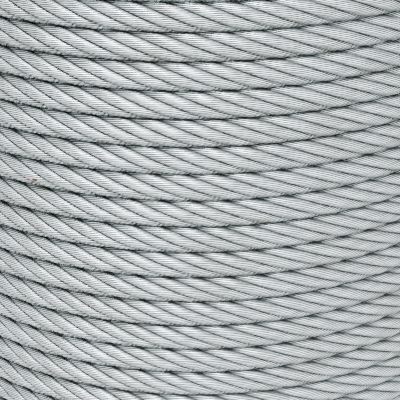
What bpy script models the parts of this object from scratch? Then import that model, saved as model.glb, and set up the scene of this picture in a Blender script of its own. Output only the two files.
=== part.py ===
"""A free coil of galvanised steel wire rope, laid up in nested layers and held by four steel straps.

The coil stands on its end, its axis along +Z. Lengths are in metres.
The origin is the middle of the floor that the coil stands on.
"""

import math

import bpy

# The rope and how it is wound
ROPE_DIAMETER = 0.012  # also the step from one turn to the next: the turns touch
COIL_OUTER_DIAMETER = 0.312  # over the crowns of the outermost turns
TURNS = 20  # in the full layers; the layers nested between them hold one less
LAYERS = 7  # odd, so that the innermost and the outermost layer are full ones

# The straps, of flat steel band drawn round the section of the coil
STRAP_WIDTH = 0.016
STRAP_THICKNESS = 0.0008
STRAP_COUNT = 4
FIRST_STRAP_AZIMUTH = math.radians(45)

# The seals, each a folded clip over the strap's lapped ends, on the outside of the coil
SEAL_LENGTH = 0.030
SEAL_SHEET = 0.0010

SEAT_GAP = 0.0003  # between two pieces that lie on each other
COIL_SIDES = 36  # flat sides round the coil, with one side square to each strap
EIGHTH = math.radians(22.5)  # half the angle that one side of an eight-sided turn spans

# What follows from them
ROPE_RADIUS = ROPE_DIAMETER / 2
LAYER_STEP = ROPE_DIAMETER * math.sqrt(3) / 2  # a turn lies in the groove of two below it
OUTER_TURN_RADIUS = COIL_OUTER_DIAMETER / 2 - ROPE_RADIUS
INNER_TURN_RADIUS = OUTER_TURN_RADIUS - (LAYERS - 1) * LAYER_STEP
CROWN_HALF = ROPE_RADIUS * math.tan(EIGHTH)  # half a side of the turn's eight-sided section
COIL_BOTTOM = STRAP_THICKNESS + SEAT_GAP
COIL_HEIGHT = TURNS * ROPE_DIAMETER
SIDE_FLATNESS = math.cos(math.pi / COIL_SIDES)  # from a corner's radius to the middle of a side

GALVANISED = (0.62, 0.65, 0.66, 1.0)
STRAP_STEEL = (0.30, 0.32, 0.34, 1.0)


def clear_scene():
    for item in list(bpy.data.objects):
        bpy.data.objects.remove(item, do_unlink=True)


def new_collection(name):
    collection = bpy.data.collections.new(name)
    bpy.context.scene.collection.children.link(collection)
    return collection


def metal(name, colour, roughness):
    material = bpy.data.materials.new(name)
    material.use_nodes = True
    shader = material.node_tree.nodes["Principled BSDF"]
    shader.inputs["Base Color"].default_value = colour
    shader.inputs["Metallic"].default_value = 0.9
    shader.inputs["Roughness"].default_value = roughness
    return material


def side_points(turn_radius, outward):
    """The crowns and grooves up or down one side of the coil, from its top turn to its bottom one."""
    crown = turn_radius + outward * ROPE_RADIUS
    groove = turn_radius + outward * CROWN_HALF
    points = []
    for turn in range(TURNS):
        middle = COIL_BOTTOM + COIL_HEIGHT - ROPE_RADIUS - turn * ROPE_DIAMETER
        points.append((crown, middle + CROWN_HALF))
        points.append((crown, middle - CROWN_HALF))
        if turn < TURNS - 1:
            points.append((groove, middle - ROPE_RADIUS))
    return points


def end_points():
    """One end of the coil from the bore outwards, as (radius, depth below the end): full layers stand
    proud, and the nested layers between them lie half a rope lower. The groove between the two is where the
    nested turn's sloping side meets the full turn's upright one."""
    groove = LAYER_STEP - CROWN_HALF
    points = []
    for layer in range(LAYERS):
        radius = INNER_TURN_RADIUS + layer * LAYER_STEP
        nested = layer % 2 == 1
        if nested:
            points.append((radius - CROWN_HALF, ROPE_RADIUS))
            points.append((radius + CROWN_HALF, ROPE_RADIUS))
            continue
        if layer > 0:
            points.append((radius - ROPE_RADIUS, groove))
            points.append((radius - ROPE_RADIUS, ROPE_RADIUS - CROWN_HALF))
        points.append((radius - CROWN_HALF, 0.0))
        points.append((radius + CROWN_HALF, 0.0))
        if layer < LAYERS - 1:
            points.append((radius + ROPE_RADIUS, ROPE_RADIUS - CROWN_HALF))
            points.append((radius + ROPE_RADIUS, groove))
    return points


def coil_profile():
    """The closed outline of the coil's section: down the outside, in along the bottom, up the bore, out along the top."""
    top = COIL_BOTTOM + COIL_HEIGHT
    outside = side_points(OUTER_TURN_RADIUS, 1)
    bottom = [(radius, COIL_BOTTOM + depth) for radius, depth in reversed(end_points())]
    bore = list(reversed(side_points(INNER_TURN_RADIUS, -1)))
    over = [(radius, top - depth) for radius, depth in end_points()]
    return outside + bottom + bore + over


def make_rope_coil(collection, material):
    """All the layers of rope as one solid of revolution with its bore."""
    outline = coil_profile()
    mesh = bpy.data.meshes.new("rope_coil")
    corners = [(radius, 0.0, height) for radius, height in outline]
    edges = [(index, (index + 1) % len(corners)) for index in range(len(corners))]
    mesh.from_pydata(corners, edges, [])
    mesh.materials.append(material)
    coil = bpy.data.objects.new("rope_coil", mesh)
    collection.objects.link(coil)
    turned = coil.modifiers.new("Turned", "SCREW")
    turned.axis = "Z"
    turned.angle = math.tau
    turned.steps = COIL_SIDES
    turned.render_steps = COIL_SIDES
    turned.use_merge_vertices = True
    turned.merge_threshold = 0.00001
    turned.use_smooth_shade = False
    return coil


def section_loop(offset):
    """A loop at an offset outside the coil's section, as (radius, height). Its corners lie square on the
    eight-sided turns that they pass over, so each has two bends."""
    bore_side = (INNER_TURN_RADIUS - ROPE_RADIUS) * SIDE_FLATNESS
    # Across the strap's width the bore curves in towards it
    bore_side -= STRAP_WIDTH / 2 * math.tan(math.pi / COIL_SIDES)
    outer_side = (OUTER_TURN_RADIUS + ROPE_RADIUS) * SIDE_FLATNESS
    low, high = COIL_BOTTOM, COIL_BOTTOM + COIL_HEIGHT
    corners = [
        (outer_side - ROPE_RADIUS, low + ROPE_RADIUS),
        (outer_side - ROPE_RADIUS, high - ROPE_RADIUS),
        (bore_side + ROPE_RADIUS, high - ROPE_RADIUS),
        (bore_side + ROPE_RADIUS, low + ROPE_RADIUS),
    ]
    reach = (ROPE_RADIUS + offset) / math.cos(EIGHTH)
    points = []
    for quarter, (radius, height) in enumerate(corners, start=-1):
        for angle in (quarter * math.pi / 2 + EIGHTH, (quarter + 1) * math.pi / 2 - EIGHTH):
            points.append((radius + reach * math.cos(angle), height + reach * math.sin(angle)))
    return points


def make_strap(number, azimuth, collection, material):
    """One band round the coil's section: the outline of its edge, thickened to the band's width."""
    curve = bpy.data.curves.new(f"strap_{number}", "CURVE")
    curve.dimensions = "2D"
    curve.fill_mode = "BOTH"
    curve.extrude = STRAP_WIDTH / 2
    for offset in (SEAT_GAP + STRAP_THICKNESS, SEAT_GAP):
        points = section_loop(offset)
        spline = curve.splines.new("POLY")
        spline.points.add(len(points) - 1)
        for point, (radius, height) in zip(spline.points, points):
            point.co = (radius, height, 0.0, 1.0)
        spline.use_cyclic_u = True
    curve.materials.append(material)
    strap = bpy.data.objects.new(f"strap_{number}", curve)
    strap.rotation_euler = (math.pi / 2, 0.0, azimuth)
    collection.objects.link(strap)
    return strap


def make_seal(number, azimuth, collection, cutters, material):
    """The folded clip: a plate over the strap, with its two sides turned down to the coil."""
    coil_face = (OUTER_TURN_RADIUS + ROPE_RADIUS) * SIDE_FLATNESS
    inside = coil_face + SEAT_GAP
    strap_face = inside + STRAP_THICKNESS
    outside = strap_face + SEAT_GAP + SEAL_SHEET
    middle_height = COIL_BOTTOM + COIL_HEIGHT / 2
    width = STRAP_WIDTH + 2 * SEAT_GAP + 2 * SEAL_SHEET
    direction = (math.cos(azimuth), math.sin(azimuth))

    def block(name, low, high, across, along, holder):
        bpy.ops.mesh.primitive_cube_add(size=1.0)
        item = bpy.context.object
        item.name = name
        item.data.name = name
        for owner in list(item.users_collection):
            owner.objects.unlink(item)
        holder.objects.link(item)
        for corner in item.data.vertices:
            corner.co.x *= high - low
            corner.co.y *= across
            corner.co.z *= along
        middle = (low + high) / 2
        item.location = (direction[0] * middle, direction[1] * middle, middle_height)
        item.rotation_euler = (0.0, 0.0, azimuth)
        return item

    seal = block(f"strap_seal_{number}", inside, outside, width, SEAL_LENGTH, collection)
    seal.data.materials.append(material)
    channel = block(
        f"seal_channel_{number}",
        inside - SEAL_SHEET,
        strap_face + SEAT_GAP,
        STRAP_WIDTH + 2 * SEAT_GAP,
        2 * SEAL_LENGTH,
        cutters,
    )
    channel.hide_render = True
    channel.display_type = "WIRE"
    cut = seal.modifiers.new("Channel", "BOOLEAN")
    cut.operation = "DIFFERENCE"
    cut.object = channel
    return seal


def main():
    clear_scene()
    parts = new_collection("coil_of_wire_rope")
    cutters = new_collection("cutters")
    galvanised = metal("galvanised_rope", GALVANISED, 0.45)
    band = metal("strap_steel", STRAP_STEEL, 0.40)
    make_rope_coil(parts, galvanised)
    for index in range(STRAP_COUNT):
        azimuth = FIRST_STRAP_AZIMUTH + index * math.tau / STRAP_COUNT
        make_strap(index + 1, azimuth, parts, band)
        make_seal(index + 1, azimuth, parts, cutters, band)


main()
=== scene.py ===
# %% [markdown]
# # A coil of wire rope
#
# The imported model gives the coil's size, its place on the floor and the solids that stand for it. This
# lesson dresses those solids: one real rope, laid up from six strands of wire, wound turn by turn and layer
# by layer, and the steel straps and seals that hold it. Lengths are in metres.

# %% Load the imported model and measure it
import math

import bpy
import numpy as np
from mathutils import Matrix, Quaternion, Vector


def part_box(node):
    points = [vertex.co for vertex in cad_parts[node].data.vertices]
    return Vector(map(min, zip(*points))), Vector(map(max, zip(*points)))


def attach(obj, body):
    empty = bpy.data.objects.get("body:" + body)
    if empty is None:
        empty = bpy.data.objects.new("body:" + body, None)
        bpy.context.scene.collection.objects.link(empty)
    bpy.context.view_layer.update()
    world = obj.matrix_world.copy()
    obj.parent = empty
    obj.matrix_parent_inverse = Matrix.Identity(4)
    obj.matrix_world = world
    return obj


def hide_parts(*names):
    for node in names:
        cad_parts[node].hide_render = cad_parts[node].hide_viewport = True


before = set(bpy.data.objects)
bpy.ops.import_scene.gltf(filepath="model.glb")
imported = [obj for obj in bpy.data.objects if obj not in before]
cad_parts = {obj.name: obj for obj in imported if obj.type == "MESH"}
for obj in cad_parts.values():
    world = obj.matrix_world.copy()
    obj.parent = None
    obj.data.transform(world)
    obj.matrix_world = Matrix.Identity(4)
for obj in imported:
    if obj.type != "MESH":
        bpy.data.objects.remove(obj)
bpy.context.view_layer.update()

coil_low, coil_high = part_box("rope_coil")

# %% [markdown]
# ## The rope and its winding
#
# A factory winds such a coil on a drum that is taken out afterwards. The rope goes round level with the
# floor, and at the back of each lap it crosses over to the next place. At the end of a layer it climbs onto
# it and the next layer lies in its grooves, so that layer holds one turn less. These few sizes fix every
# turn.

# %% The sizes that the winding follows
ROPE_DIAMETER = 0.012
ROPE_RADIUS = ROPE_DIAMETER / 2
LAYERS = 7
TURNS = round((coil_high.z - coil_low.z) / ROPE_DIAMETER)
LAYER_STEP = ROPE_DIAMETER * math.sqrt(3) / 2
OUTER_TURN_RADIUS = coil_high.x - ROPE_RADIUS
INNER_TURN_RADIUS = OUTER_TURN_RADIUS - (LAYERS - 1) * LAYER_STEP
print(TURNS, "turns in a full layer, centre lines from", round(INNER_TURN_RADIUS, 4), "to", OUTER_TURN_RADIUS)

# %% Where each turn lies
LOWEST_TURN = coil_low.z + ROPE_RADIUS


def turn_seats():
    """The seat of each turn as (radius, height), in the order of winding. A full layer's heights rise by one
    rope diameter a turn. A nested layer's heights lie half way between them, and run back down."""
    seats = []
    for layer in range(LAYERS):
        radius = INNER_TURN_RADIUS + layer * LAYER_STEP
        nested = layer % 2 == 1
        heights = LOWEST_TURN + ROPE_DIAMETER * (np.arange(TURNS - nested) + nested / 2)
        heights = heights[::-1] if nested else heights
        seats += [(radius, height) for height in heights]
    return np.array(seats)


seats = turn_seats()
LAPS = len(seats)
changes = np.flatnonzero(np.diff(seats[:, 0]) > 0) + 1
print(LAPS, "laps, with a new layer after laps", changes.tolist())

# %% [markdown]
# ## The camera
#
# The photograph looks down on the front of the coil from close by, so that the turns fill the picture and
# bend like smiles. A camera was fitted to the gaps between the turns: its distance, height and tilt are
# given in rope diameters from the turn that crosses the top of the picture, so the view stays right at any
# rope size.

# %% Set the camera
PHOTO_TOP_TURN = 3  # turns above the one that the camera was fitted from
CAMERA_DISTANCE = 50.571 * ROPE_DIAMETER
CAMERA_RISE = 13.890 * ROPE_DIAMETER
CAMERA_DOWN = 0.47267  # radians below the horizon
CAMERA_YAW = 0.00078
CAMERA_ROLL = 0.01359
FOCAL_PIXELS = 1255.96
PHOTO_PIXELS = 400
SENSOR = 36.0

photo_turn_height = LOWEST_TURN + (TURNS - 1 - PHOTO_TOP_TURN) * ROPE_DIAMETER
camera = bpy.data.objects.new("camera", bpy.data.cameras.new("camera"))
bpy.context.scene.collection.objects.link(camera)
bpy.context.scene.camera = camera
camera.data.sensor_width = SENSOR
camera.data.lens = FOCAL_PIXELS / PHOTO_PIXELS * SENSOR
camera.data.clip_start = 0.01
camera.location = (0.0, -CAMERA_DISTANCE, photo_turn_height + CAMERA_RISE)
to_the_left = Quaternion((0.0, 0.0, 1.0), CAMERA_YAW)
downwards = Quaternion((1.0, 0.0, 0.0), math.pi / 2 - CAMERA_DOWN)
rolled_right = Quaternion((0.0, 0.0, 1.0), -CAMERA_ROLL)
camera.rotation_mode = "QUATERNION"
camera.rotation_quaternion = to_the_left @ downwards @ rolled_right
print("camera at", [round(value, 4) for value in camera.location], "lens", round(camera.data.lens, 2))

# %% [markdown]
# ## The path of the rope
#
# The rope's centre line could be a curve object with a point for each bend. Here it is a function instead:
# give it any place along the rope, counted in laps, and it says where the rope is. The strands can then be
# laid along it as finely as each stretch needs, and all stretches still belong to one rope.

# %% The centre line
FIRST_AZIMUTH = math.radians(120)  # where a lap begins, just past the crossing at the back
CROSSING = 1 / 6  # the share of a lap in which the rope crosses over to its next seat
SETTLE = 0.04  # how far a climbing turn beds down between its neighbours, in rope diameters


def between(first, second, share):
    return first + (second - first) * share[:, None]


def rope_centre(lap):
    """Points on the centre line. A lap stays on its seat for five sixths of the way round and then moves to
    the next seat by the smooth step 3w^2 - 2w^3. At the top of a layer it rolls a third of a turn round the
    neighbour that rises under it, from above it to its outer side. At the bottom it rolls round the rope of
    the next lap in the same way, from its inner side to below it. Half way through a climb it beds down by
    SETTLE, with the hump 4w(1 - w) of the smooth step."""
    here = np.clip(np.floor(lap).astype(int), 0, LAPS - 1)
    behind = np.maximum(here - 1, 0)
    ahead = np.minimum(here + 1, LAPS - 1)
    beyond = np.minimum(here + 2, LAPS - 1)
    moved = np.clip((lap - here - (1 - CROSSING)) / CROSSING, 0, 1)
    share = moved * moved * (3 - 2 * moved)
    seat = between(seats[here], seats[ahead], share)

    def rolled(hub, start, turn):
        angle = start + turn * share
        return hub + ROPE_DIAMETER * np.stack([np.cos(angle), np.sin(angle)], axis=1)

    over = rolled(between(seats[behind], seats[here], share), math.pi / 2, -math.tau / 3)
    under = rolled(between(seats[ahead], seats[beyond], share), math.radians(150), math.tau / 3)
    climbs = np.isin(here + 1, changes)
    at_top = climbs & (seats[here, 1] > LOWEST_TURN + ROPE_DIAMETER)
    at_bottom = climbs & ~at_top
    settled = SETTLE * ROPE_DIAMETER * 4 * share * (1 - share)
    over[:, 1] -= settled
    under[:, 1] += settled
    seat = np.where(at_top[:, None], over, seat)
    seat = np.where(at_bottom[:, None], under, seat)
    azimuth = FIRST_AZIMUTH + math.tau * lap
    return np.stack([seat[:, 0] * np.cos(azimuth), seat[:, 0] * np.sin(azimuth), seat[:, 1]], axis=1)


first_place = rope_centre(np.array([0.0]))[0]
print("the first lap begins at", [round(float(value), 4) for value in first_place])

# %% The rope's two ends
INNER_END = -0.012  # in laps: the rope starts a little before its first lap
OUTER_END_AZIMUTH = math.radians(360 + 55.5)  # just past the first strap, in the top turn of the last layer
OUTER_END = LAPS - 1 + (OUTER_END_AZIMUTH - FIRST_AZIMUTH) / math.tau
PLACES_IN_A_LAP = 720
lap_table = np.linspace(INNER_END, OUTER_END, LAPS * PLACES_IN_A_LAP)
steps = np.linalg.norm(np.diff(rope_centre(lap_table), axis=0), axis=1)
length_table = np.concatenate([[0.0], np.cumsum(steps)])
ROPE_LENGTH = length_table[-1]
print("the rope is", round(ROPE_LENGTH, 2), "m long")

# %% [markdown]
# ## The strands
#
# Six strands lie round a core, and each is itself laid up from wires. In the section of the rope each
# strand is nearly a circle, spread a little where it is cut at a slant and pressed on its neighbours. The
# section turns once in every lay length as it goes along the rope, and that is all it takes to lay the
# strands. Real rope is never laid quite evenly, so the lay runs a little ahead and behind over tens of lay
# lengths. Where a turn lies on its neighbours its strands sink into their valleys, so the lines between the
# turns are thin and wavy.

# %% The lay of the rope
STRANDS = 6
LAY_LENGTH = 6.24 * ROPE_DIAMETER
STRAND_CENTRE = ROPE_DIAMETER / 3
STRAND_RISE = ROPE_DIAMETER / 6  # the strand's radius towards the outside of the rope
STRAND_SPREAD = 1.07  # how much wider than deep the pressed strand is
LAY_WANDER = 0.12  # how far the lay runs ahead or behind, in lay lengths
LAY_WAVES = ((0.57, 1.0, 0.4), (0.231, 0.7, 2.1), (1.37, 0.5, 5.0))  # (metres a radian, height, start)
LAY_START = 0.034  # where the first strand stands, in lay lengths
PRESSED = 0.12  # how far the turns of a layer sink into each other's valleys, as a share of their radius
FILLED = 0.8  # how far its valleys are filled where it lies on a neighbour
FILLED_FROM_ABOVE = 0.66  # how high a valley faces where it starts to fill under the turn above
FILLED_FROM_BELOW = 0.45  # the same on the lower side, where the turn lies on the one below
FILLED_WITHIN = 0.4  # how much further round the turn it is filled
FUSED_TIP = 0.004  # the length that draws in at each end of the rope
TIP_NARROWS = 0.45  # how far it draws in, as a share of its radius
TIP_RINGS = 7  # rings of mesh within it
HEAT_STAIN = 0.022  # the length that the heat stains


def lay_turns(length):
    """How many times the strands have gone round the rope at a length along it: the length over the lay
    length, plus three slow sine waves that never repeat together."""
    slow = sum(height * np.sin(length / reach + start) for reach, height, start in LAY_WAVES)
    return length / LAY_LENGTH + LAY_WANDER * slow - LAY_START


lay_table = lay_turns(length_table)
print("the strands go round", round(lay_table[-1]), "times")


# %% The section of one strand
REACH_TRIES = np.linspace(0.5, 2.3, 4000)  # the angles that are tried, in radians


def strand_reach():
    """The angle from a strand's crown to where it meets the next strand: the ellipse is cut by the plane half
    way between them, where (spread rise sin) = tan 30 (centre + rise cos)."""
    across = STRAND_SPREAD * STRAND_RISE * np.sin(REACH_TRIES)
    out = STRAND_CENTRE + STRAND_RISE * np.cos(REACH_TRIES)
    return REACH_TRIES[np.argmax(across > math.tan(math.pi / STRANDS) * out)]


STRAND_REACH = strand_reach()


def laid_section(pieces):
    """The rope's section before it turns, as complex numbers: each strand's ellipse from one meeting line to
    the next, in a number of pieces. It also gives each point's place round its own strand, in turns."""
    angle = np.linspace(-STRAND_REACH, STRAND_REACH, pieces + 1)
    lobe = STRAND_CENTRE + STRAND_RISE * np.cos(angle) + 1j * STRAND_SPREAD * STRAND_RISE * np.sin(angle)
    turned = np.exp(1j * math.tau * np.arange(STRANDS) / STRANDS)
    outline = (turned[:, None] * lobe[None, :-1]).ravel()
    around = np.arange(STRANDS)[:, None] + 0.5 + angle[None, :] / math.tau
    return outline, around[:, :-1].ravel(), around[:, 1:].ravel()


print("a strand shows", round(math.degrees(2 * STRAND_REACH)), "degrees of its own outline")


# %% [markdown]
# ## Carrying the section along the path
#
# Every ring of the mesh is the section, turned by the lay and set square to the centre line. Every face
# keeps two numbers for its material: how far the lay has gone, and where on which strand it lies. They make
# the UV map that the wires will follow. Where two strands meet the edge is sharp, so that each strand
# shades by itself.

# %% Put points and faces into a mesh
def new_piece(name, points, quads, ends):
    """A mesh object from its points, its four-cornered faces and the faces that close its two ends."""
    faces = [quads, *ends]
    corners = np.concatenate([face.ravel() for face in faces])
    sizes = np.concatenate([np.full(len(face), face.shape[1]) for face in faces])
    starts = np.concatenate([[0], np.cumsum(sizes)[:-1]])
    mesh = bpy.data.meshes.new(name)
    mesh.vertices.add(len(points))
    mesh.vertices.foreach_set("co", points.astype(np.float32).ravel())
    mesh.loops.add(len(corners))
    mesh.loops.foreach_set("vertex_index", corners.astype(np.int32))
    mesh.polygons.add(len(sizes))
    mesh.polygons.foreach_set("loop_start", starts.astype(np.int32))
    mesh.polygons.foreach_set("use_smooth", np.ones(len(sizes), bool))
    mesh.update(calc_edges=True)
    mesh.validate()
    piece = bpy.data.objects.new(name, mesh)
    bpy.context.scene.collection.objects.link(piece)
    return piece


def tube_faces(rings, around):
    """Four-cornered faces between neighbouring rings, with their outside along tangent x next point."""
    ring, point = np.meshgrid(np.arange(rings - 1), np.arange(around), indexing="ij")
    following = (point + 1) % around
    quads = [ring * around + point, (ring + 1) * around + point, (ring + 1) * around + following]
    quads.append(ring * around + following)
    return np.stack(quads, axis=-1).reshape(-1, 4)


def end_fans(rings, around):
    """Triangles from each end ring to a middle point of its own, which come after all the rings' points."""
    point = np.arange(around)
    following = (point + 1) % around
    last = (rings - 1) * around
    middle = np.full(around, rings * around)
    first = np.stack([middle, point, following], axis=1)
    final = np.stack([middle + 1, last + following, last + point], axis=1)
    return first, final


# %% Lay a stretch of rope
A_LITTLE_ON = 1e-4  # in laps: how far ahead and behind the rope is looked at for its direction


def rope_frames(lap):
    """The centre line and two directions square to it: outwards from the coil, and up."""
    centre = rope_centre(lap)
    azimuth = FIRST_AZIMUTH + math.tau * lap
    outwards = np.stack([np.cos(azimuth), np.sin(azimuth), np.zeros_like(azimuth)], axis=1)
    along = rope_centre(lap + A_LITTLE_ON) - rope_centre(lap - A_LITTLE_ON)
    along /= np.linalg.norm(along, axis=1, keepdims=True)
    up = np.cross(outwards, along)
    up /= np.linalg.norm(up, axis=1, keepdims=True)
    return centre, np.cross(along, up), up


def lay_stretch(name, first_lap, last_lap, section, turns_per_ring):
    """A closed stretch of rope. Ring n stands where the lay has gone n times turns_per_ring, and its points
    are centre + outwards Re(p) + up Im(p), where p is the section times exp(-2 pi i lay), pressed on its
    neighbours."""
    outline, around_from, around_to = section
    first_lay, last_lay = np.interp([first_lap, last_lap], lap_table, lay_table)
    rings = max(int(round((last_lay - first_lay) / turns_per_ring)), 2) + 1
    lay = np.linspace(first_lay, last_lay, rings)
    lay = np.sort(np.concatenate([lay, fused_rings(first_lay, last_lay)]))
    lap = np.interp(lay, lay_table, lap_table)
    centre, outwards, up = rope_frames(lap)
    narrow, fused = fused_ends(np.interp(lay, lay_table, length_table))
    turned = outline[None, :] * (narrow * np.exp(-1j * math.tau * lay))[:, None]
    side = turned.imag / np.abs(turned)
    turned = pressed(centre, turned, side, ROPE_RADIUS * narrow[:, None])
    points = centre[:, None, :] + turned.real[..., None] * outwards[:, None, :]
    points = points + turned.imag[..., None] * up[:, None, :]
    size = len(outline)
    points = np.concatenate([points.reshape(-1, 3), centre[[0, -1]]])
    piece = new_piece(name, points, tube_faces(len(lay), size), end_fans(len(lay), size))
    write_map(piece, "lay", lay, around_from, around_to)
    write_side(piece, side, fused)
    return piece


# %% Press a turn on its neighbours
def pressed(centre, section, side, radius):
    """The section of a turn that lies on its neighbours. Towards them it is PRESSED taller than a free
    rope, because its strands sink into theirs, and its valleys are FILLED, for theirs lie in them. A
    layer's top turn has no neighbour above it and its bottom turn none below it, and both stand half a rope
    further in where the layer is a nested one."""
    layer = (np.hypot(centre[:, :1], centre[:, 1:2]) - INNER_TURN_RADIUS) / LAYER_STEP
    inset = ROPE_RADIUS * (1.5 - np.cos(math.pi * layer) / 2)
    above = np.clip((coil_high.z - inset - centre[:, 2:]) / ROPE_RADIUS, 0, 1)
    below = np.clip((centre[:, 2:] - coil_low.z - inset) / ROPE_RADIUS, 0, 1)
    touched = np.where(side > 0, above, below)
    reach = np.abs(section)
    fills_from = np.where(side > 0, FILLED_FROM_ABOVE, FILLED_FROM_BELOW)
    filled = FILLED * touched * np.clip((np.abs(side) - fills_from) / FILLED_WITHIN, 0, 1)
    section = section * (1 + (radius / reach - 1) * filled)
    return section.real + 1j * section.imag * (1 + PRESSED * touched)


# %% The melted ends of the rope
ROUNDING = 1e-9  # keeps a ring at the very end of a stretch from being laid twice


def fused_rings(first_lay, last_lay):
    """Extra rings, close together, where a stretch holds one of the rope's two ends."""
    near = FUSED_TIP * (1 - np.cos(np.linspace(0, math.pi / 2, TIP_RINGS)))
    ends = np.concatenate([near, ROPE_LENGTH - near])
    lay = np.interp(ends, length_table, lay_table)
    return lay[(lay > first_lay + ROUNDING) & (lay < last_lay - ROUNDING)]


def fused_ends(length):
    """The rope is cut by melting it through. Within the tip it draws in on a quarter of an ellipse, and the
    heat stains it for a little further: both depend on the distance to the nearer end of the rope."""
    to_end = np.minimum(length, ROPE_LENGTH - length)
    into = np.clip(1 - to_end / FUSED_TIP, 0, 1)
    narrow = 1 - TIP_NARROWS * (1 - np.sqrt(1 - into * into))
    return narrow, np.clip(1 - to_end / HEAT_STAIN, 0, 1)


# %% What the points and faces keep for the material
def write_side(piece, high, fused):
    """Two values for each point: how high it faces on its turn, from -1 to 1, and how scorched it is, from 0
    to 1. The second isn't named heat, because the renderer keeps that name for smoke and fire."""
    values = {"turn_side": high, "scorched": np.broadcast_to(fused[:, None], high.shape)}
    for name, value in values.items():
        ends = [value[0].mean(), value[-1].mean()]
        attribute = piece.data.attributes.new(name, "FLOAT", "POINT")
        attribute.data.foreach_set("value", np.concatenate([value.ravel(), ends]).astype(np.float32))


def write_map(piece, name, along, across_from, across_to):
    """A UV map: u is the value of the face's near or far ring, and v runs from one value to the other across
    the face. The faces that close the ends get zeros."""
    shape = (len(along) - 1, len(across_from))
    near, far = np.broadcast_to(along[:-1, None], shape), np.broadcast_to(along[1:, None], shape)
    first, second = np.broadcast_to(across_from, shape), np.broadcast_to(across_to, shape)
    corners = np.stack([near, first, far, first, far, second, near, second], axis=-1).reshape(-1, 2)
    values = np.zeros((len(piece.data.loops), 2), np.float32)
    values[:len(corners)] = corners
    piece.data.uv_layers.new(name=name).data.foreach_set("uv", values.ravel())


# %% Sharp edges between the strands
def sharpen_meetings(piece, around, pieces):
    """Marks the edges that run along the rope where two strands meet, and the rims of its two flat ends."""
    mesh = piece.data
    ends = np.zeros(2 * len(mesh.edges), np.int32)
    mesh.edges.foreach_get("vertices", ends)
    ends = ends.reshape(-1, 2)
    column = ends % around
    meeting = (column[:, 0] == column[:, 1]) & (column[:, 0] % pieces == 0)
    ring = ends // around
    last = ring.max() - 1
    rim = (ring[:, 0] == ring[:, 1]) & ((ring[:, 0] == 0) | (ring[:, 0] == last))
    attribute = mesh.attributes.new("sharp_edge", "BOOLEAN", "EDGE")
    attribute.data.foreach_set("value", meeting | rim)


# %% Which stretches of the rope are laid finely
FINE_PIECES = 8  # pieces round each strand where the rope shows from close by
FINE_STEP = 1 / 14  # how far the lay goes from ring to ring there
FAIR_PIECES = 6  # the same in the bore and on the ends
FAIR_STEP = 1 / 12
HIDDEN_SIDES = 12  # sides of the plain round rope inside the coil
HIDDEN_RADIUS = 0.97 * ROPE_RADIUS
HIDDEN_STEP = 1 / 4
fine = laid_section(FINE_PIECES)
fair = laid_section(FAIR_PIECES)
circle = np.arange(HIDDEN_SIDES + 1) / HIDDEN_SIDES
plain = (HIDDEN_RADIUS * np.exp(1j * math.tau * circle[:-1]), circle[:-1] + 0.5, circle[1:] + 0.5)
rope_pieces = []
print("a section has", len(fine[0]), "points where it is fine and", len(fair[0]), "where it is fair")


def lay_rope(name, first_lap, last_lap, section, turns_per_ring, pieces):
    piece = lay_stretch(name, first_lap, last_lap, section, turns_per_ring)
    if pieces:
        sharpen_meetings(piece, len(section[0]), pieces)
    rope_pieces.append(piece)
    print(name, len(piece.data.loops) - 2 * len(piece.data.polygons), "triangles")


# %% The outermost layer, which the photograph shows
outer_start = float(changes[-1])
outer_middle = outer_start + TURNS / 2
lay_rope("rope_outer_layer_low", outer_start, outer_middle, fine, FINE_STEP, FINE_PIECES)
lay_rope("rope_outer_layer_high", outer_middle, OUTER_END, fine, FINE_STEP, FINE_PIECES)

# %% The innermost layer, which lines the bore
lay_rope("rope_bore_layer", INNER_END, float(changes[0]), fair, FAIR_STEP, FAIR_PIECES)

# %% The turns that show at the coil's two ends, and the hidden ones between them
reached = float(changes[0])
for number, change in enumerate(changes.tolist(), start=1):
    shown_from = max(change - 1 - CROSSING, reached)
    shown_to = min(change + 1, outer_start)
    if shown_from > reached:
        lay_rope(f"rope_hidden_turns_{number}", reached, shown_from, plain, HIDDEN_STEP, 0)
    lay_rope(f"rope_end_turns_{number}", shown_from, shown_to, fair, FAIR_STEP, FAIR_PIECES)
    reached = shown_to

# %% [markdown]
# ## The straps
#
# Four steel bands hold the turns together once the drum is out. Each is pulled tight round the section of
# the coil, so it lies straight along the crowns of the turns and bends only round the four corners. A band
# could be a bevelled curve, but its two ends lap each other under a seal. So it is a thin rounded section
# carried along a path that starts and ends there.

# %% The sizes of a strap
STRAP_WIDTH = 0.016
STRAP_THICKNESS = 0.0008
STRAP_CORNER = 0.00034  # the radius of its rounded edges
SEAT = 0.0001  # air between two pieces that lie on each other
STRAP_SEAT = 0.0003  # air between a strap and the crowns of the turns
LAP = 0.026  # how far each end of the strap reaches past the middle of the seal
RAMP = 0.012  # the length over which a band steps over what lies under it
SEAL_LENGTH = 0.030
SEAL_SHEET = 0.0008
SEAL_HEIGHT = (coil_low.z + coil_high.z) / 2
STRAP_AZIMUTHS = [math.radians(45 + 90 * index) for index in range(4)]
OUTER_FACE = OUTER_TURN_RADIUS + ROPE_RADIUS
BORE_FACE = math.sqrt((INNER_TURN_RADIUS - ROPE_RADIUS) ** 2 - (STRAP_WIDTH / 2) ** 2)
LONG_RUN = 60  # rings along each of the two runs that meet at the seal
SHORT_RUN = 14  # rings along each of the others
BEND_RINGS = 9  # rings round a corner of the coil's section
CORNER_POINTS = 4  # points round a corner of the band's own section
print("the straps are bent round a section", round(OUTER_FACE - BORE_FACE, 4), "m thick")


# %% The path of a strap
def smooth(share):
    """The smooth step 3w^2 - 2w^3 from 0 to 1."""
    inside = np.clip(share, 0, 1)
    return inside * inside * (3 - 2 * inside)


def spread(first, last, count):
    """Places between two points, without the points themselves."""
    return first + (last - first) * np.linspace(0, 1, count + 2)[1:-1, None]


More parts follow.
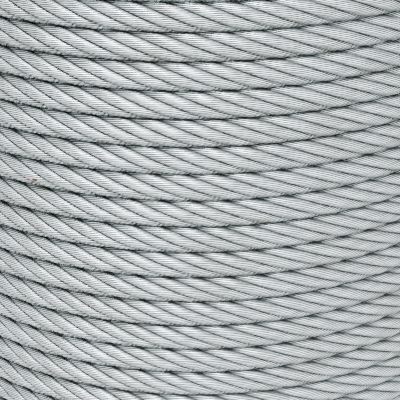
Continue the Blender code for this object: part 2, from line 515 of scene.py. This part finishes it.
def strap_path():
    """The middle of the band as (radius, height), and the direction that its outside faces. From the seal
    it goes up, in over the top, down the bore, out underneath and up to the seal again: straight runs
    between quarter circles round the corner turns."""
    reach = ROPE_RADIUS + STRAP_THICKNESS / 2 + STRAP_SEAT
    inset = np.array([[-1, -1], [1, -1], [1, 1], [-1, 1]]) * ROPE_RADIUS
    over, under = coil_high.z, coil_low.z
    faces = [(OUTER_FACE, over), (BORE_FACE, over), (BORE_FACE, under), (OUTER_FACE, under)]
    angle = np.radians(np.linspace(0, 90, BEND_RINGS) + 90 * np.arange(4)[:, None])
    turned = np.stack([np.cos(angle), np.sin(angle)], axis=-1)
    corners = (np.array(faces) + inset)[:, None, :] + reach * turned
    side = OUTER_FACE + reach - ROPE_RADIUS
    begin, finish = np.array([[side, SEAL_HEIGHT - LAP]]), np.array([[side, SEAL_HEIGHT + LAP]])
    rises = spread(begin[0], corners[0, 0], LONG_RUN)
    places = [begin, rises]
    facing = [turned[0, :1], np.repeat(turned[0, :1], len(rises), axis=0)]
    for here in range(4):
        target = corners[here + 1, 0] if here < 3 else finish[0]
        run = spread(corners[here, -1], target, LONG_RUN if here == 3 else SHORT_RUN)
        places += [corners[here], run]
        facing += [turned[here], np.repeat(turned[here, -1:], len(run), axis=0)]
    places = np.concatenate(places + [finish])
    facing = np.concatenate(facing + [turned[0, :1]])
    return places + stepped(places, facing)[:, None] * facing, facing


def stepped(places, facing):
    """How far the band stands off the coil. The seal's lips lie under it, and its last run also passes over
    its own first one."""
    on_outside = np.isclose(facing[:, 0], 1) & (places[:, 0] > OUTER_FACE)
    away = np.abs(places[:, 1] - SEAL_HEIGHT)
    over_lips = smooth((SEAL_LENGTH / 2 + RAMP - away) / RAMP) * (SEAL_SHEET + SEAT)
    last_run = np.arange(len(places)) > len(places) / 2
    over_end = smooth((places[:, 1] - (SEAL_HEIGHT - LAP - RAMP)) / RAMP) * (STRAP_THICKNESS + SEAT)
    return on_outside * (over_lips + last_run * over_end)


# %% The section of a strap
def rounded_bar(width, thickness, corner):
    """A rectangle with round corners as (across, out) points."""
    angle = np.radians(np.linspace(0, 90, CORNER_POINTS) + 90 * np.arange(4)[:, None])
    hubs = np.array([[1, 1], [-1, 1], [-1, -1], [1, -1]]) * [width / 2 - corner, thickness / 2 - corner]
    return (hubs[:, None, :] + corner * np.stack([np.cos(angle), np.sin(angle)], axis=-1)).reshape(-1, 2)


# %% Carry a section along a path in the plane of an azimuth
SHARP_ANGLE = math.radians(50)  # faces that meet at more than this have a sharp edge


def carried(name, azimuth, places, facing, section, ends):
    """Every ring is the section, with its first axis square to the azimuth's plane and its second one along
    the facing. The ends are fans round a middle point each, or four-cornered faces, which need no middle
    point."""
    outwards = np.array([math.cos(azimuth), math.sin(azimuth), 0.0])
    sideways = np.array([-math.sin(azimuth), math.cos(azimuth), 0.0])
    up = np.array([0.0, 0.0, 1.0])
    centre = places[:, :1] * outwards + places[:, 1:] * up
    out = facing[:, :1] * outwards + facing[:, 1:] * up
    points = centre[:, None, :] + section[..., :1] * sideways + section[..., 1:] * out[:, None, :]
    rings, size = section.shape[:2]
    middles = points[[0, -1]].mean(axis=1)
    caps = ends(rings, size)
    if caps[0].shape[1] == 4:
        middles = middles[:0]
    points = np.concatenate([points.reshape(-1, 3), middles])
    piece = new_piece(name, points, tube_faces(rings, size), caps)
    steps = np.linalg.norm(np.diff(places, axis=0), axis=1)
    across = section[0, :, 0]
    write_map(piece, "run", np.concatenate([[0.0], np.cumsum(steps)]), across, np.roll(across, -1))
    piece.data.set_sharp_from_angle(angle=SHARP_ANGLE)
    return piece


# %% Bend the four straps
strap_pieces = []
places, facing = strap_path()
bar = rounded_bar(STRAP_WIDTH, STRAP_THICKNESS, STRAP_CORNER)
for number, azimuth in enumerate(STRAP_AZIMUTHS, start=1):
    section = np.broadcast_to(bar, (len(places), *bar.shape))
    strap = carried(f"steel_strap_{number}", azimuth, places, facing, section, end_fans)
    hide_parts(f"strap_{number}")
    strap_pieces.append(strap)
print("a strap is", round(float(np.linalg.norm(np.diff(places, axis=0), axis=1).sum()), 3), "m long")

# %% [markdown]
# ## The seals
#
# A seal is a short sleeve of sheet steel. It is folded round the lapped ends, and a crimping tool then
# bites two notches into each edge, which lock it. It is a C-shaped section carried a short way up, and at
# the notches the section is narrower, with its edges pushed up.

# %% The folded section of a seal
NOTCHES = (-0.0065, 0.0065)  # above and below the middle of the seal
NOTCH_WIDTH = 0.0021
NOTCH_DEPTH = 0.0022
NOTCH_RISE = 0.0007
NOTCH_HOLD = 8  # the higher, the closer to the seal's edges the notches stay
SEAL_PLAY = 3 * SEAT  # air between the sheet and the lapped ends
LIP = 0.0042  # how far the sheet is folded in under the strap
FOLD = 0.0006  # the radius of its folds
FOLD_POINTS = 5  # points round a fold
FACE_POINTS = (0.8, 0.5)  # points across each half of the flat face, as shares of its width


def seal_face(offset):
    """One face of the sheet as (across, out) points from lip to lip, at an offset from what the seal is
    folded round. Out is measured from the back of the strap."""
    side = STRAP_WIDTH / 2 + SEAL_PLAY + offset
    top = 2 * STRAP_THICKNESS + SEAL_PLAY + offset
    angle = np.radians(np.linspace(0, 90, FOLD_POINTS) + np.array([[-90], [0]]))
    hubs = np.array([[side - FOLD, FOLD - offset], [side - FOLD, top - FOLD]])
    folds = hubs[:, None, :] + FOLD * np.stack([np.cos(angle), np.sin(angle)], axis=-1)
    over = [[side * share, top] for share in FACE_POINTS]
    right = np.concatenate([[[side - LIP, -offset]], folds.reshape(-1, 2), over])
    return np.concatenate([right, [[0.0, top]], right[::-1] * [-1, 1]])


def bitten(section, along):
    """Near a notch the section's sides move in by NOTCH_DEPTH exp(-(distance / NOTCH_WIDTH)^4), and rise.
    Both fade towards the middle of the seal as the power NOTCH_HOLD of the way to its side."""
    bite = sum(np.exp(-(((along - notch) / NOTCH_WIDTH) ** 4)) for notch in NOTCHES)[:, None]
    across, out = section[:, 0], section[:, 1]
    edge = (np.abs(across) / np.abs(across).max()) ** NOTCH_HOLD
    moved = across - np.sign(across) * NOTCH_DEPTH * bite * edge
    raised = out + NOTCH_RISE * bite * edge * (out > STRAP_THICKNESS)
    return np.stack([moved, raised], axis=-1)


def sheet_ends(rings, size):
    """Four-cornered faces across the thickness of the sheet, at both ends of the seal."""
    here = np.arange(size // 2 - 1)
    first = np.stack([here, here + 1, size - 2 - here, size - 1 - here], axis=1)
    return first, first[:, ::-1] + (rings - 1) * size


# %% Fold the four seals
outline = np.concatenate([seal_face(SEAL_SHEET), seal_face(0.0)[::-1]])
SEAL_RINGS = 61
along = np.linspace(-SEAL_LENGTH / 2, SEAL_LENGTH / 2, SEAL_RINGS)
under_strap = OUTER_FACE + STRAP_SEAT + SEAL_SHEET + SEAT
seal_places = np.stack([np.full(len(along), under_strap), SEAL_HEIGHT + along], axis=1)
seal_facing = np.tile([1.0, 0.0], (len(along), 1))
for number, azimuth in enumerate(STRAP_AZIMUTHS, start=1):
    name = f"steel_seal_{number}"
    seal = carried(name, azimuth, seal_places, seal_facing, bitten(outline, along), sheet_ends)
    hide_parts(f"strap_seal_{number}")
    strap_pieces.append(seal)
print("a seal is folded from a sheet with", len(outline) // 2, "points from lip to lip")

# %% [markdown]
# ## Shader helpers and shared effects
#
# Zinc and steel both pick up stains as the coil is stored and handled. That effect is a node group, so that
# each metal takes the same stains with its own strength.

# %% Helpers for shader nodes
def link(tree, source, target):
    tree.links.new(source, target)


def feed(tree, value, socket):
    if isinstance(value, bpy.types.NodeSocket):
        link(tree, value, socket)
    else:
        socket.default_value = value


def math_node(tree, operation, first, second=None, third=None):
    node = tree.nodes.new("ShaderNodeMath")
    node.operation = operation
    for socket, value in zip(node.inputs, (first, second, third)):
        if value is not None:
            feed(tree, value, socket)
    return node.outputs[0]


def times(tree, first, second):
    return math_node(tree, "MULTIPLY", first, second)


def times_plus(tree, first, second, added):
    """The first value times the second, plus what is added."""
    return math_node(tree, "MULTIPLY_ADD", first, second, added)


def ramp_between(tree, value, low, high):
    """A smooth step of a value from 0 at low to 1 at high."""
    node = tree.nodes.new("ShaderNodeMapRange")
    node.interpolation_type = "SMOOTHSTEP"
    node.inputs["From Min"].default_value = low
    node.inputs["From Max"].default_value = high
    feed(tree, value, node.inputs["Value"])
    return node.outputs["Result"]


def noise(tree, vector, scale, detail=2.0):
    node = tree.nodes.new("ShaderNodeTexNoise")
    node.inputs["Scale"].default_value = scale
    node.inputs["Detail"].default_value = detail
    link(tree, vector, node.inputs["Vector"])
    return node.outputs["Fac"]


def mixed(tree, share, first, second):
    """A mix of two colours: they have the Mix node's inputs 6 and 7 and its output 2."""
    node = tree.nodes.new("ShaderNodeMix")
    node.data_type = "RGBA"
    feed(tree, share, node.inputs[0])
    feed(tree, first, node.inputs[6])
    feed(tree, second, node.inputs[7])
    return node.outputs[2]


def map_parts(tree, name):
    """The two parts of a UV map, u and v."""
    uv_map = tree.nodes.new("ShaderNodeUVMap")
    uv_map.uv_map = name
    parts = tree.nodes.new("ShaderNodeSeparateXYZ")
    link(tree, uv_map.outputs["UV"], parts.inputs[0])
    return parts.outputs["X"], parts.outputs["Y"]


def combined(tree, *parts):
    node = tree.nodes.new("ShaderNodeCombineXYZ")
    for value, socket in zip(parts, node.inputs):
        feed(tree, value, socket)
    return node.outputs[0]


def raised(tree, shader, height, distance):
    """Bump on the shader, from a height of 0 to 1 that stands for 0 to the distance."""
    bump = tree.nodes.new("ShaderNodeBump")
    bump.inputs["Distance"].default_value = distance
    link(tree, height, bump.inputs["Height"])
    link(tree, bump.outputs["Normal"], shader.inputs["Normal"])


def new_material(name):
    """A material with nodes, its node tree and its shader."""
    material = bpy.data.materials.new(name)
    material.use_nodes = True
    return material, material.node_tree, material.node_tree.nodes["Principled BSDF"]


def new_group(name, inputs, outputs):
    """An empty node group with float inputs and outputs, and its two end nodes."""
    tree = bpy.data.node_groups.new(name, "ShaderNodeTree")
    for socket in inputs:
        tree.interface.new_socket(socket, in_out="INPUT", socket_type="NodeSocketFloat")
    for socket in outputs:
        tree.interface.new_socket(socket, in_out="OUTPUT", socket_type="NodeSocketFloat")
    return tree, tree.nodes.new("NodeGroupInput"), tree.nodes.new("NodeGroupOutput")


def placed(tree, group, **values):
    """A node group placed in a material, with its own value for each named input."""
    node = tree.nodes.new("ShaderNodeGroup")
    node.node_tree = group
    for name, value in values.items():
        node.inputs[name.capitalize()].default_value = value
    return node


# %% Stains as a node group
STAIN_SCALE = 34.0  # how many spots of noise lie in a metre
FINE_STAIN_SCALE = 420.0
SPECK_SCALE = 900.0
STAIN_EDGE = (0.45, 0.75)  # the noise where a stain begins, and where it is full
FINE_STAIN_EDGE = (0.35, 0.75)
SPECK_EDGE = (0.66, 0.74)
FINE_STAIN_SHARE = 0.6  # how much of a stain is broken up into finer ones


def stain_group():
    """Soft stains a few centimetres wide with finer ones inside them, and small specks. Each is a smooth step
    of a noise on the object's own coordinates, times the amount."""
    tree, inside, outside = new_group("storage_stains", ["Amount"], ["Stain", "Speck"])
    place = tree.nodes.new("ShaderNodeTexCoord").outputs["Object"]
    wide = ramp_between(tree, noise(tree, place, STAIN_SCALE, detail=3.0), *STAIN_EDGE)
    fine = ramp_between(tree, noise(tree, place, FINE_STAIN_SCALE), *FINE_STAIN_EDGE)
    broken = times_plus(tree, fine, FINE_STAIN_SHARE, 1 - FINE_STAIN_SHARE)
    patch = times(tree, wide, broken)
    link(tree, times(tree, patch, inside.outputs["Amount"]), outside.inputs["Stain"])
    speck = ramp_between(tree, noise(tree, place, SPECK_SCALE, detail=1.0), *SPECK_EDGE)
    link(tree, times(tree, speck, inside.outputs["Amount"]), outside.inputs["Speck"])
    return tree


stains = stain_group()
print("the stain group has", len(stains.nodes), "nodes")

# %% [markdown]
# ## Wires, zinc, dirt and painted shade
#
# Each strand is laid up from drawn wires with a coat of zinc. Ordinary lay turns them in the strand against
# the way that the strands turn in the rope, so on the crowns they run straight along it. The strands are
# real geometry, but a hundred wires all along the rope are too many, so the wires are bump and colour on
# them. Their zinc is a bright silver grey with streaks. Painted shade darkens it where wires, strands and
# turns meet, and a painted shade with a greasy tint dulls it low on each turn.

# %% The wires of a strand as a node group
WIRES = 18  # on the outside of a strand
WIRE_TURNS = 3.0  # how many times they go round their strand in one lay of the rope
STREAKS = 7.0  # streaks along a wire in one lay of the rope
WIRE_ROUNDNESS = 0.97  # just under 1, so that the flanks aren't quite upright where two wires meet
NEXT_WIRE = 7.31  # how far apart in the noise the streaks of two wires are taken
NEXT_STRAND = 13.7
GROOVE_EDGE = (0.08, 0.62)  # on the way from a wire's middle to the next: where it starts and is full
STREAK_EDGE = (0.33, 0.67)  # of the noise
VALLEY_EDGE = (0.35, 1.0)  # on the way from a strand's crown to where it meets the next one
MEETING_EDGE = (0.72, 0.98)


def wire_group():
    """A wire's number is the count of wires times (the place round the strand - 3 times the lay), because a
    strand's outline has a third of the rope's radius. With x from -1 to 1 across a wire, its height is that
    of a round wire, sqrt(1 - x^2), and its groove is a smooth step of |x|. The streak is a noise that runs
    along each wire. Valley and meeting are a wide and a narrow smooth step of the way from the strand's
    crown to where it meets the next one."""
    names = ["Height", "Streak", "Groove", "Valley", "Meeting"]
    tree, inside, outside = new_group("laid_wires", ["Wires"], names)
    lay, place = map_parts(tree, "lay")
    strand = math_node(tree, "FLOOR", place)
    around = math_node(tree, "SUBTRACT", math_node(tree, "FRACT", place), 0.5)
    turns = times_plus(tree, lay, -WIRE_TURNS, around)
    wire = times(tree, turns, inside.outputs["Wires"])
    across = times_plus(tree, math_node(tree, "FRACT", wire), 2.0, -1.0)
    squared = times(tree, across, across)
    left = times_plus(tree, squared, -WIRE_ROUNDNESS, 1.0)
    link(tree, math_node(tree, "SQRT", left), outside.inputs["Height"])
    from_middle = math_node(tree, "ABSOLUTE", across)
    link(tree, ramp_between(tree, from_middle, *GROOVE_EDGE), outside.inputs["Groove"])
    this_wire = times(tree, math_node(tree, "FLOOR", wire), NEXT_WIRE)
    this_strand = times(tree, strand, NEXT_STRAND)
    along_wire = combined(tree, times(tree, lay, STREAKS), this_wire, this_strand)
    streak = ramp_between(tree, noise(tree, along_wire, 1.0), *STREAK_EDGE)
    link(tree, streak, outside.inputs["Streak"])
    side = math_node(tree, "DIVIDE", math_node(tree, "ABSOLUTE", around), STRAND_REACH / math.tau)
    link(tree, ramp_between(tree, side, *VALLEY_EDGE), outside.inputs["Valley"])
    link(tree, ramp_between(tree, side, *MEETING_EDGE), outside.inputs["Meeting"])
    return tree


wires = wire_group()
print("the wire group has", len(wires.nodes), "nodes")

# %% The one rust spot
SPOT_AZIMUTH = math.radians(-90 - 26.2)  # to the left of the front
SPOT_DOWN = 5.155 * ROPE_DIAMETER  # below the turn that crosses the top of the picture
SPOT_HALF_LENGTH = 0.0015
SPOT_HALF_HEIGHT = 0.0008
WASH_BACK = 0.0021  # from the dark spot back to the middle of the paler wash
WASH_HALF_LENGTH = 0.0036
WASH_HALF_HEIGHT = 0.0011
RAGGED_SCALE = 900.0
RAGGED_DEPTH = 0.9  # how far the noise moves the edge, as a share of the ellipse
SPOT_EDGE = (1.5, 0.9)  # where the mask starts, and where it is full


def near_spot(tree, place, back, half_length, half_height):
    """A mask that falls from 1 in the middle of an ellipse on the coil's outside to 0 at its edge. Its length
    runs along the turn and its height along the coil's axis, and noise makes its edge ragged."""
    azimuth = SPOT_AZIMUTH - back / OUTER_FACE
    middle = (OUTER_FACE * math.cos(azimuth), OUTER_FACE * math.sin(azimuth), photo_turn_height - SPOT_DOWN)
    mapping = tree.nodes.new("ShaderNodeMapping")
    mapping.vector_type = "TEXTURE"
    mapping.inputs["Location"].default_value = middle
    mapping.inputs["Rotation"].default_value = (0.0, 0.0, azimuth)
    mapping.inputs["Scale"].default_value = (ROPE_RADIUS, half_length, half_height)
    link(tree, place, mapping.inputs["Vector"])
    length = tree.nodes.new("ShaderNodeVectorMath")
    length.operation = "LENGTH"
    link(tree, mapping.outputs["Vector"], length.inputs[0])
    wavy = noise(tree, place, RAGGED_SCALE)
    ragged = times_plus(tree, wavy, RAGGED_DEPTH, length.outputs["Value"])
    return ramp_between(tree, ragged, *SPOT_EDGE)


# %% The finish of the rope
ZINC_DULL = (0.47, 0.505, 0.508, 1)
ZINC_BRIGHT = (0.88, 0.97, 1.0, 1)
# the darkest colour is painted shade: it darkens the grooves between wires, the lines where strands meet, the
# tops of turns under the turn above and the valleys near them
PAINTED_SHADE = (0.064, 0.071, 0.072, 1)
# a greasy tint: it is painted shade low on each turn, and grease in the stains
GREASE_AND_SHADE = (0.40, 0.41, 0.32, 1)
RUST_WASH = (0.52, 0.36, 0.31, 1)
RUST_DARK = (0.075, 0.038, 0.034, 1)
HEAT_TINT = (0.09, 0.075, 0.07, 1)
MOTTLE_SCALE = 300.0
STREAK_SHARE = 0.6  # how much of the zinc's tone the streaks make; the mottle makes the rest
ZINC_ROUGHNESS = 0.36
SHADE_LINE_ROUGHNESS = 0.3  # how much rougher it is where the painted shade lines lie
WIRE_RELIEF = 0.0006

# %% Where painted shade and grease lie on a turn
SHADED_LOW_SIDE = (0.15, -0.85)  # how high a place faces where an effect begins, and where it is full
TOUCHING_SIDE = (0.62, 0.90)
POCKET_SIDE = (0.35, 0.80)
MEETING_SIDE = (-0.9, -0.1)
SUNK_SIDE = (0.50, 0.90)
LOW_PATCH_SCALE = 150.0
LOW_PATCH_EDGE = (0.42, 0.66)
LOW_SHADE = 0.45  # how strong each effect is
STAIN_GREASE = 0.35
GROOVE_SHADE = 0.97
TOUCHING_SHADOW = 0.28
POCKET_SHADE = 0.3
LOW_MEETING = 0.45  # how dark the painted shade line between two strands is low on the turn
SUNK_MEETING = 0.5  # how much of it is lost where the strands sink into the next turn
WASH_STRENGTH = 0.7
SPOT_STRENGTH = 0.95


def read_value(tree, name):
    node = tree.nodes.new("ShaderNodeAttribute")
    node.attribute_name = name
    return node.outputs["Fac"]


def laid_over(tree, mask, strength, colour, top):
    """The colour with another one laid over it, where the mask says and with that strength."""
    return mixed(tree, times(tree, mask, strength), colour, top)


def shaded_low_and_greased(tree, place, side, colour):
    """Painted shade with a greasy tint low on each turn, in soft patches, and grease in the stains."""
    patches = ramp_between(tree, noise(tree, place, LOW_PATCH_SCALE, detail=3.0), *LOW_PATCH_EDGE)
    # painted shade with a greasy tint on the lower side of each turn
    low_side = ramp_between(tree, side, *SHADED_LOW_SIDE)
    colour = laid_over(tree, times(tree, low_side, patches), LOW_SHADE, colour, GREASE_AND_SHADE)
    dirt = placed(tree, stains, amount=1.0)
    return laid_over(tree, dirt.outputs["Stain"], STAIN_GREASE, colour, GREASE_AND_SHADE)


def shade_lines(tree, laid, side):
    """How dark the painted shade makes a place: between wires, and as a line where two strands meet. The line
    is clearest on the middle of the turn."""
    crisp = ramp_between(tree, side, *MEETING_SIDE)
    crisp = times_plus(tree, crisp, 1 - LOW_MEETING, LOW_MEETING)
    crisp = times_plus(tree, ramp_between(tree, side, *SUNK_SIDE), -SUNK_MEETING, crisp)
    # painted shade in the grooves between wires
    grooves = times(tree, laid.outputs["Groove"], GROOVE_SHADE)
    return math_node(tree, "MAXIMUM", grooves, times(tree, laid.outputs["Meeting"], crisp))


# %% Put the rope's finish together
SCORCHED_EDGE = (0.0, 0.9)  # along the stain: where the tint starts, and where it is full
MELTED_EDGE = (0.95, 0.75)  # where the wires are melted away, and where they are whole


def rope_material():
    """The zinc's tone comes from the streaks of the wires and a fine mottle. Over it lie a painted shade with
    a greasy tint low on each turn, grease in the stains, painted shade between wires, strands and turns, the
    rust spot with its wash, and the scorch at the rope's ends."""
    material, tree, shader = new_material("galvanised_wire_rope")
    laid = placed(tree, wires, wires=WIRES)
    place = tree.nodes.new("ShaderNodeTexCoord").outputs["Object"]
    side = read_value(tree, "turn_side")
    mottle = times(tree, noise(tree, place, MOTTLE_SCALE, detail=3.0), 1 - STREAK_SHARE)
    tone = times_plus(tree, laid.outputs["Streak"], STREAK_SHARE, mottle)
    zinc = mixed(tree, tone, ZINC_DULL, ZINC_BRIGHT)
    # a painted shade with a greasy tint low on each turn, and grease in the stains
    colour = shaded_low_and_greased(tree, place, side, zinc)
    # painted shade between wires and along the lines where two strands meet
    dark = shade_lines(tree, laid, side)
    colour = mixed(tree, dark, colour, PAINTED_SHADE)
    # a painted shadow on the top of each turn, where the turn above hangs over it
    touching = ramp_between(tree, side, *TOUCHING_SIDE)
    colour = laid_over(tree, touching, TOUCHING_SHADOW, colour, PAINTED_SHADE)
    # painted shade in the strand valleys on the upper side of each turn, where they run under the turn above
    pocket = times(tree, laid.outputs["Valley"], ramp_between(tree, side, *POCKET_SIDE))
    colour = laid_over(tree, pocket, POCKET_SHADE, colour, PAINTED_SHADE)
    wash = near_spot(tree, place, WASH_BACK, WASH_HALF_LENGTH, WASH_HALF_HEIGHT)
    colour = laid_over(tree, wash, WASH_STRENGTH, colour, RUST_WASH)
    spot = near_spot(tree, place, 0.0, SPOT_HALF_LENGTH, SPOT_HALF_HEIGHT)
    colour = laid_over(tree, spot, SPOT_STRENGTH, colour, RUST_DARK)
    scorched = read_value(tree, "scorched")
    colour = mixed(tree, ramp_between(tree, scorched, *SCORCHED_EDGE), colour, HEAT_TINT)
    link(tree, colour, shader.inputs["Base Color"])
    rough = times_plus(tree, dark, SHADE_LINE_ROUGHNESS, ZINC_ROUGHNESS)
    link(tree, rough, shader.inputs["Roughness"])
    shader.inputs["Metallic"].default_value = 0.7
    not_melted = ramp_between(tree, scorched, *MELTED_EDGE)
    raised(tree, shader, times(tree, laid.outputs["Height"], not_melted), WIRE_RELIEF)
    return material


rope_finish = rope_material()
for piece in rope_pieces:
    piece.data.materials.append(rope_finish)
    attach(piece, "root")
    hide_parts("rope_coil")
print("the rope's finish is on", len(rope_pieces), "stretches of rope")

# %% [markdown]
# ## The steel of the straps
#
# Strapping is cold-rolled steel, grey and slightly dark, with fine lines along the band from the rolls. Its
# edges are rubbed bright, and a little rust shows in specks and stains.

# %% The finish of straps and seals
STEEL_DARK = (0.10, 0.11, 0.12, 1)
STEEL_LIGHT = (0.25, 0.265, 0.28, 1)
STEEL_RUBBED = (0.55, 0.56, 0.57, 1)
STEEL_RUST = (0.30, 0.13, 0.06, 1)
ROLLED_ALONG = 25.0  # how often the noise changes in a metre along the band
ROLLED_ACROSS = 2200.0  # and across it, which makes long fine lines
RUBBED_EDGE = (STRAP_WIDTH / 2 - 0.0009, STRAP_WIDTH / 2 - 0.0001)
RUBBED_STRENGTH = 0.7
SPECK_RUST = 0.5
STAIN_RUST = 0.25
STEEL_ROUGHNESS = 0.30
LINE_ROUGHNESS = 0.2  # how much rougher the lines are
LINE_RELIEF = 0.00003


def strap_material():
    """Tone and roughness follow a noise that is stretched along the band. Over it lie the rubbed edges and
    the rust in specks and stains."""
    material, tree, shader = new_material("cold_rolled_strap_steel")
    dirt = placed(tree, stains, amount=0.8)
    along, across = map_parts(tree, "run")
    stretched = combined(tree, times(tree, along, ROLLED_ALONG), times(tree, across, ROLLED_ACROSS))
    rolled = noise(tree, stretched, 1.0, detail=3.0)
    colour = mixed(tree, rolled, STEEL_DARK, STEEL_LIGHT)
    rubbed = ramp_between(tree, math_node(tree, "ABSOLUTE", across), *RUBBED_EDGE)
    colour = laid_over(tree, rubbed, RUBBED_STRENGTH, colour, STEEL_RUBBED)
    specks = times(tree, dirt.outputs["Speck"], SPECK_RUST)
    rusty = math_node(tree, "MAXIMUM", specks, times(tree, dirt.outputs["Stain"], STAIN_RUST))
    link(tree, mixed(tree, rusty, colour, STEEL_RUST), shader.inputs["Base Color"])
    rough = times_plus(tree, rolled, LINE_ROUGHNESS, STEEL_ROUGHNESS)
    link(tree, rough, shader.inputs["Roughness"])
    shader.inputs["Metallic"].default_value = 0.85
    raised(tree, shader, rolled, LINE_RELIEF)
    return material


strap_finish = strap_material()
for piece in strap_pieces:
    piece.data.materials.append(strap_finish)
    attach(piece, "root")
print("the strap steel is on", len(strap_pieces), "pieces")

# %% [markdown]
# ## The floor and the light
#
# A pale floor, a white studio and one soft light in front and above, so that the upper side of each turn is
# bright and the lines between the turns stay dark. A weak second one lifts the right side a little.

# %% The floor
FLOOR_REACH = 4.0
FLOOR_COLOUR = (0.72, 0.72, 0.71, 1)
floor_mesh = bpy.data.meshes.new("floor")
floor_corners = FLOOR_REACH * np.array([(-1, -1, 0), (1, -1, 0), (1, 1, 0), (-1, 1, 0)])
floor_mesh.from_pydata(floor_corners.tolist(), [], [(0, 1, 2, 3)])
floor = bpy.data.objects.new("floor", floor_mesh)
bpy.context.scene.collection.objects.link(floor)
pale, _, floor_shader = new_material("pale_floor")
floor_shader.inputs["Base Color"].default_value = FLOOR_COLOUR
floor_shader.inputs["Roughness"].default_value = 0.8
floor_mesh.materials.append(pale)

# %% The studio
WORLD_STRENGTH = 0.995
world = bpy.data.worlds.new("studio")
world.use_nodes = True
background = world.node_tree.nodes["Background"]
background.inputs["Color"].default_value = (1, 1, 1, 1)
background.inputs["Strength"].default_value = WORLD_STRENGTH
bpy.context.scene.world = world
bpy.context.scene.view_settings.view_transform = "AgX"
bpy.context.scene.view_settings.look = "AgX - Very High Contrast"


def softbox(name, place, size, watts):
    """A round soft light that is aimed at the middle of the coil."""
    lamp = bpy.data.lights.new(name, "AREA")
    lamp.shape = "DISK"
    lamp.size = size
    lamp.energy = watts
    light = bpy.data.objects.new(name, lamp)
    bpy.context.scene.collection.objects.link(light)
    light.location = place
    aim = -light.location
    aim.z += SEAL_HEIGHT
    light.rotation_euler = aim.to_track_quat("-Z", "Y").to_euler()


softbox("softbox_front", place=(0.05, -1.0, 1.7), size=0.8, watts=72)
softbox("softbox_right", place=(1.3, -1.0, 0.2), size=0.8, watts=7)
